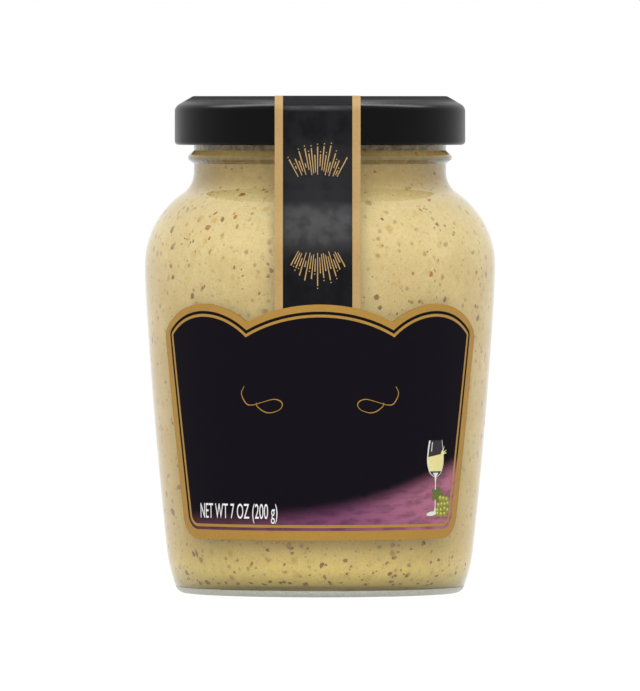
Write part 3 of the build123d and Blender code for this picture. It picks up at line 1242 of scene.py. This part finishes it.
@dataclass(frozen=True)
class FrontPrint:
    """What is printed inside the front label's border."""

    label: Label
    line_width: float = 0.16
    weight_text: str = "NET WT 7 OZ (200 g)"
    text_left: float = -25.4
    text_width: float = 17.3
    text_base: float = 14.0
    text_height: float = 3.75
    glass_place: Pair = (24.2, 15.7)
    grapes_place: float = 26.3
    grape_step: float = 0.98

    def lifts(self, layer: int) -> Pair:
        """Return the lifts of the hidden and the shown side of a layer of print."""
        face, step = self.label.thickness, self.label.print_lift
        return face - step, face + step * (1 + 0.5 * layer)

    def ink(
        self, name: str, finish: Finish, layer: int, grids: Sequence[np.ndarray], ring: bool = False
    ) -> None:
        """Print flat grids on the label.

        Args:
            name: The piece's name.
            finish: What it is printed in.
            layer: How many layers are under it.
            grids: The flat grids.
            ring: True where each grid's last row joins its first.
        """
        low, high = self.lifts(layer)
        solids = [sheet(grid, self.label.wrap, low, high, ring) for grid in grids]
        joined(solids).piece(name, finish, "label_paper")

    def scrolls(self) -> None:
        """Print the thin gold scroll at each side of the middle."""
        half = spline(
            [
                (-14.8, 39.95), (-15.35, 38.55), (-14.4, 36.75), (-13.1, 36.45), (-11.0, 37.0),
                (-8.8, 37.55), (-7.45, 37.15), (-7.15, 36.35), (-7.85, 35.5), (-9.45, 35.0),
                (-10.8, 35.25), (-12.1, 36.2), (-12.3, 36.85),
            ]
        )
        swell = self.line_width * (0.7 + 0.5 * np.sin(np.linspace(0, 3 * math.pi, len(half))) ** 2)
        pair = [stroke(half * np.array([side, 1]), swell) for side in (1, -1)]
        self.ink("gold_scrolls", Finish.LABEL_GOLD, 0, pair)

    def weight(self) -> None:
        """Print the net weight, white over a dark edge."""
        for name, finish, swell, layer in (
            ("weight_text_edge", Finish.SHADOW_INK, 0.035, 0),
            ("weight_text", Finish.WHITE_INK, 0.0, 2),
        ):
            curve = bpy.data.curves.new(name, "FONT")
            curve.body = self.weight_text
            curve.extrude = self.label.print_lift
            curve.offset = swell
            source = bpy.data.objects.new(name, curve)
            mesh = bpy.data.meshes.new_from_object(source)
            points = np.array([vertex.co for vertex in mesh.vertices])
            faces = [list(face.vertices) for face in mesh.polygons]
            if layer == 0:
                low = points[:, :2].min(axis=0) + swell
                high = points[:, :2].max(axis=0) - swell
                scale = np.array([self.text_width, self.text_height]) / (high - low)
            flat = (points[:, :2] - low) * scale + np.array([self.text_left, self.text_base])
            hidden, top = self.lifts(layer)
            lift = np.where(points[:, 2] > 0, top, hidden)
            Solid(self.label.wrap(*flat.T, lift), faces).piece(name, finish, "label_paper")
            bpy.data.objects.remove(source)

    def wine_glass(self) -> None:
        """Print the small glass of white wine, tilted a little and splashing."""
        middle, foot = self.glass_place
        bowl = spline([(0.4, 7.0), (1.5, 7.8), (2.15, 9.6), (2.05, 11.8), (1.65, 13.9)], 6)
        stem = np.array([(0.3, 0.4), (0.1, 1.2), (0.08, 3.0), (0.1, 6.0), (0.3, 7.2), (0.75, 7.75)])
        rows = np.linspace(-1, 1, 7)

        def filled(edge: np.ndarray, slope: float = 0.0) -> np.ndarray:
            """Return the grid across a shape between its two like edges, its top sloping."""
            across = edge[:, :1] * rows
            share = np.linspace(0, 1, len(edge))[:, None] ** 2
            heights = foot + edge[:, 1:] + slope * share * across
            return np.stack([middle + across, heights], -1)

        def between(low: float, high: float, share: float) -> np.ndarray:
            """Return the bowl's edge between two heights, drawn in to a share of its width."""
            return bowl[(bowl[:, 1] > low) & (bowl[:, 1] < high)] * np.array([share, 1])

        def line(edge: np.ndarray, side: int, widths: Pair) -> np.ndarray:
            """Return the stroke along an edge of one side, from one width to another."""
            place = np.column_stack([middle + side * edge[:, 0], foot + edge[:, 1]])
            return stroke(place, np.linspace(*widths, len(edge)))

        start = (middle + 1.5, foot + 11.3)
        splash = [
            stroke(np.array([start, (middle + across, foot + height)]), np.array([0.5, 0.08]))
            for across, height in ((2.3, 12.7), (2.9, 12.0), (3.0, 11.5))
        ]
        edge = between(0.0, math.inf, 0.97)
        lines = [
            line(edge, -1, (0.1, 0.34)),
            line(edge, 1, (0.1, 0.1)),
            line(between(11.6, 13.8, 0.55), -1, (0.16, 0.16)),
            filled(stem),
        ]
        base = blob((middle - 0.9, foot), 1.35, 0.4, 0.12)
        self.ink("printed_glass_bowl", Finish.DIM_INK, 0, [filled(bowl)])
        wine = filled(between(7.8, 11.2, 0.93), 0.16)
        self.ink("printed_wine", Finish.WINE_INK, 1, [wine, *splash])
        self.ink("printed_glass_edges", Finish.PALE_INK, 2, lines)
        self.ink("printed_glass_foot", Finish.PALE_INK, 2, [base], True)

    def grapes(self) -> None:
        """Print the bunch of pale grapes and its leaves."""
        chance = random.Random(SEED + 1)
        rows = ((0.35, 18.4, 3), (0.2, 17.4, 4), (0.15, 16.4, 4), (-0.3, 15.5, 3))
        fruit, gloss = [], []
        for shift, height, count in rows:
            for place in range(count):
                step = (place - (count - 1) / 2) * self.grape_step
                across = self.grapes_place + shift + step + chance.uniform(-0.12, 0.12)
                level = height + chance.uniform(-0.2, 0.2)
                fruit.append(blob((across, level), 0.56, 0.6))
                gloss.append(blob((across - 0.14, level + 0.16), 0.26, 0.24))
        turns = np.linspace(0, 2 * math.pi, 80, endpoint=False)
        reach = 0.72 + 0.2 * np.cos(5 * turns) + 0.08 * np.cos(25 * turns)
        rim = np.column_stack([reach * np.cos(turns), reach * np.sin(turns)])
        leaves = [disc((24.7, 19.3), 1.75 * rim), disc((25.9, 18.6), 1.3 * rim)]
        self.ink("printed_leaf", Finish.LEAF_INK, 3, leaves, True)
        self.ink("printed_grapes", Finish.GRAPE_INK, 4, fruit, True)
        self.ink("printed_grape_lights", Finish.GRAPE_LIGHT, 5, gloss, True)

    def build(self) -> None:
        """Print everything."""
        self.scrolls()
        self.weight()
        self.wine_glass()
        self.grapes()


# ---- The seal ----


@dataclass(frozen=True)
class Seal:
    """The paper strip over the lid and down to the labels, with its gold edges and rays."""

    jar: GlassJar
    lid: Lid
    label: Label
    width: float = 16.2
    shift: float = -0.45
    thickness: float = 0.1
    contact_rise: float = 9.0
    bend: float = 9.0
    gold_width: float = 1.55
    print_lift: float = 0.02
    gold_depth: float = 0.03
    rays: int = 21
    fan: float = 28.0
    upper_burst: float = 72.6
    lower_burst: float = 72.3
    ray_start: float = 7.1
    ray_end: float = 11.9

    def path(self) -> np.ndarray:
        """Return the strip's run from the lid's top edge down to the belly."""
        jar, lid = self.jar, self.lid
        lean = math.asin(self.contact_rise / jar.shoulder_radius)
        away = np.array([math.cos(lean), math.sin(lean)])
        contact = np.array([jar.shoulder_centre, jar.belly_height]) + away * jar.shoulder_radius
        centre = contact + away * self.bend
        start = np.array([lid.outer, lid.bottom + lid.curl])
        across, down = centre - start
        aside = math.asin(self.bend / math.hypot(across, down))
        touch = math.atan2(down, across) - aside - math.pi / 2
        edge = lid.edge()
        run = Run(tuple(edge[0])).line(*(tuple(point) for point in edge[1:]))
        for share in (0.33, 0.66, 1.0):
            run.line((lid.outer, lid.corner_height * (1 - share) + start[1] * share))
        first = centre + self.bend * np.array([math.cos(touch), math.sin(touch)])
        for share in (0.25, 0.5, 0.75, 1.0):
            run.line(start + (first - start) * share)
        run.about(centre, self.bend, touch, lean - math.pi, 8)
        run.about((jar.shoulder_centre, jar.belly_height), jar.shoulder_radius, lean, 0, 16)
        return run.array()

    def end_height(self, across: np.ndarray) -> np.ndarray:
        """Return the height of the labels' edge under each place across the strip."""
        radius = float(self.jar.side_radius(np.array(self.label.top)))
        round_glass = radius * np.arcsin(across / radius)
        arch = self.label.middle_arch
        return self.label.top - arch + np.sqrt(arch**2 - round_glass**2)

    def grid(self, left: float, right: float, lift: float, columns: int) -> np.ndarray:
        """Return the strip's points between two places across, from the lid to the label."""
        path = offset(self.path(), -lift)
        across = np.linspace(left, right, columns)
        ends = self.end_height(across)
        flat = math.sqrt(self.lid.crest_place**2 - max(abs(left), abs(right)) ** 2)
        rows = [
            [(x, -flat * share, self.lid.top + lift) for x in across]
            for share in np.linspace(0, 1, 10)[:-1]
        ]
        for radius, height in path:
            rows.append([(x, -math.sqrt(radius**2 - x * x), height) for x in across])
        low = np.vstack([self.jar.side(lift)[-8:], self.jar.upper(lift)[:9]])
        for share in np.linspace(0, 1, 9)[1:]:
            heights = path[-1, 1] + (ends - path[-1, 1]) * share
            radii = np.interp(heights, low[:, 1], low[:, 0])
            rows.append(np.column_stack([across, -np.sqrt(radii**2 - across**2), heights]))
        return np.array(rows)

    def wrap(self, across: np.ndarray, height: np.ndarray, lift: np.ndarray) -> np.ndarray:
        """Return where places seen from the front lie on the strip."""
        path = self.path()
        below = path[path[:, 1] <= self.lid.corner_height][::-1]
        radius = np.interp(height, below[:, 1], below[:, 0]) + lift
        return np.column_stack([across, -np.sqrt(radius**2 - across**2), height])

    def strip(self, left: float, right: float, lifts: Pair, columns: int, flip: bool) -> Solid:
        """Make a length of the strip between two lifts, at the front or turned to the back."""
        made = slab(*(self.grid(left, right, lift, columns) for lift in lifts))
        if flip:
            made.vertices = made.vertices * np.array([1, -1, 1])
            made.faces = [face[::-1] for face in made.faces]
        return made

    def burst(self, origin: float, up: bool) -> list[np.ndarray]:
        """Draw a fan of thin rays with dots at some of their ends.

        Args:
            origin: The height of the point that they spread from.
            up: True where they point up.

        Returns:
            Their flat grids.
        """
        chance = random.Random(SEED + 2 + up)
        start = np.array([self.shift, origin])
        grids = []
        for number in range(self.rays):
            angle = math.radians(self.fan) * (2 * number / (self.rays - 1) - 1)
            spoke = np.array([math.sin(angle), math.cos(angle) if up else -math.cos(angle)])
            inner = self.ray_start + chance.uniform(0, 1.2) + 1.4 * chance.random() * (number % 2)
            outer = self.ray_end + chance.uniform(-0.7, 0.9) - 1.8 * (number % 2)
            outer += 0.7 * math.cos(6 * angle)
            reach = np.linspace(inner, outer, 6)[:, None]
            grids.append(stroke(start + spoke * reach, np.linspace(0.15, 0.22, 6)))
            if chance.random() < 0.55:
                dot = outer + 0.35 + np.linspace(0, 0.2, 3)[:, None]
                grids.append(stroke(start + spoke * dot, np.full(3, 0.2)))
        return grids

    def build(self) -> None:
        """Make the strip, its gold edges and its rays."""
        left, right = self.shift - self.width / 2, self.shift + self.width / 2
        low = (0.0, self.thickness - self.print_lift)
        gold = (self.thickness - self.gold_depth, self.thickness)
        paper = [self.strip(left, right, low, 25, flip) for flip in (False, True)]
        joined(paper).piece("seal_paper", Finish.SEAL_PAPER, "seal_paper", "seal_band")
        edges = [
            self.strip(start, start + self.gold_width, gold, 5, flip)
            for start in (left, right - self.gold_width)
            for flip in (False, True)
        ]
        joined(edges).piece("seal_gold_edges", Finish.SEAL_GOLD, "seal_paper")
        rays = self.burst(self.upper_burst, True) + self.burst(self.lower_burst, False)
        solids = [sheet(grid, self.wrap, *gold) for grid in rays]
        joined(solids).piece("seal_gold_rays", Finish.SEAL_GOLD, "seal_paper")


# ---- The studio ----


@dataclass(frozen=True)
class Lamp:
    """A soft rectangular lamp that points at the jar."""

    name: str
    place: tuple[float, float, float]
    size: Pair
    radiance: float
    gloss_on: tuple[str, ...] = ()

    def build(self, target: tuple[float, float, float]) -> None:
        """Hang the lamp, pointed at the target. One with gloss_on only glints on those pieces."""
        light = bpy.data.lights.new(self.name, "AREA")
        light.shape = "RECTANGLE"
        light.size, light.size_y = self.size
        light.energy = self.radiance * math.pi * self.size[0] * self.size[1]
        lamp = staged(self.name, light)
        lamp.location = self.place
        aim = np.array(target) - np.array(self.place)
        pitch = math.atan2(math.hypot(aim[0], aim[1]), -aim[2])
        lamp.rotation_euler = (pitch, 0, math.atan2(-aim[0], aim[1]))
        lamp.visible_transmission = False
        if self.gloss_on:
            lamp.visible_diffuse = False
            glinting = bpy.data.collections.new(f"{self.name}_pieces")
            for piece in self.gloss_on:
                glinting.objects.link(bpy.data.objects[piece])
            lamp.light_linking.receiver_collection = glinting
        else:
            lamp.visible_glossy = False


@dataclass(frozen=True)
class Studio:
    """The pale floor, the soft lamps and the camera."""

    distance: float = 2.5
    elevation: float = 1.1
    frame_height: float = 0.1318
    aim_height: float = 0.0471
    ambient: float = 0.48
    floor_share: float = 0.85
    floor_white: float = 1.12
    floor_size: float = 12.0
    lamps: tuple[Lamp, ...] = (
        Lamp("overhead_lamp", (0.0, -0.1, 0.95), (1.5, 1.2), 1.75),
        Lamp("front_lamp", (0.0, -1.15, 0.9), (1.3, 0.7), 2.75),
        Lamp("seal_sheen_lamp", (0.0, -0.5, 0.72), (0.8, 0.85), 13.0, ("seal_paper",)),
        Lamp("lid_edge_lamp", (0.0, 0.25, 0.8), (1.6, 0.25), 16.0, ("twist_lid",)),
    )

    def world(self) -> None:
        """Light the world softly, and show it white to the camera, in metal and through glass."""
        shader = Shader("studio", world=True)
        inputs = {"Value": shader.seen(), "To Min": self.ambient, "To Max": 1.0}
        strength = shader.value("ShaderNodeMapRange", inputs=inputs)
        light = shader.value("ShaderNodeBackground", inputs={"Color": WHITE, "Strength": strength})
        bpy.context.scene.world = shader.finish(light, "ShaderNodeOutputWorld")

    def floor(self) -> None:
        """Lay the pale floor, which shows nearly white and keeps the jar's shadow."""
        shader = Shader("pale_floor")
        paint = shader.principled(
            Base_Color=srgb(236, 236, 234), Roughness=0.9, Specular_IOR_Level=0.0
        )
        inputs = {"Color": WHITE, "Strength": self.floor_white}
        white = shader.value("ShaderNodeEmission", inputs=inputs)
        mesh = bpy.data.meshes.new("floor")
        half = self.floor_size / 2
        corners = [(-half, -half, 0), (half, -half, 0), (half, half, 0), (-half, half, 0)]
        mesh.from_pydata(corners, [], [(0, 1, 2, 3)])
        mesh.materials.append(
            shader.finish(shader.blend(shader.seen() * self.floor_share, paint, white))
        )
        staged("floor", mesh)

    def camera(self) -> None:
        """Set the camera a long way in front, just above level."""
        data = bpy.data.cameras.new("camera")
        data.sensor_width = 36.0
        data.lens = data.sensor_width * self.distance / self.frame_height
        data.clip_end = 20.0
        camera = staged("camera", data)
        tilt = math.radians(self.elevation)
        back, up = self.distance * math.cos(tilt), self.distance * math.sin(tilt)
        camera.location = (0, -back, self.aim_height + up)
        camera.rotation_euler = (math.pi / 2 - tilt, 0, 0)
        bpy.context.scene.camera = camera

    def build(self) -> None:
        """Set up the whole studio."""
        self.world()
        self.floor()
        for lamp in self.lamps:
            lamp.build((0, 0, self.aim_height))
        self.camera()
        bpy.context.scene.view_settings.view_transform = "Standard"


def main() -> None:
    """Build the jar and the studio, piece by piece."""
    logging.basicConfig(level=logging.INFO, format="%(message)s")
    jar = GlassJar()
    lid = Lid(jar)
    front = Label(jar, "front_label", Finish.FRONT_PAPER, 1.0)
    back = Label(jar, "back_label", Finish.BACK_PAPER, -1.0)
    for part in (jar, Mustard(jar), lid, front, back, FrontPrint(front), Seal(jar, lid, front)):
        part.build()
    Studio().build()


if __name__ == "__main__":
    main()
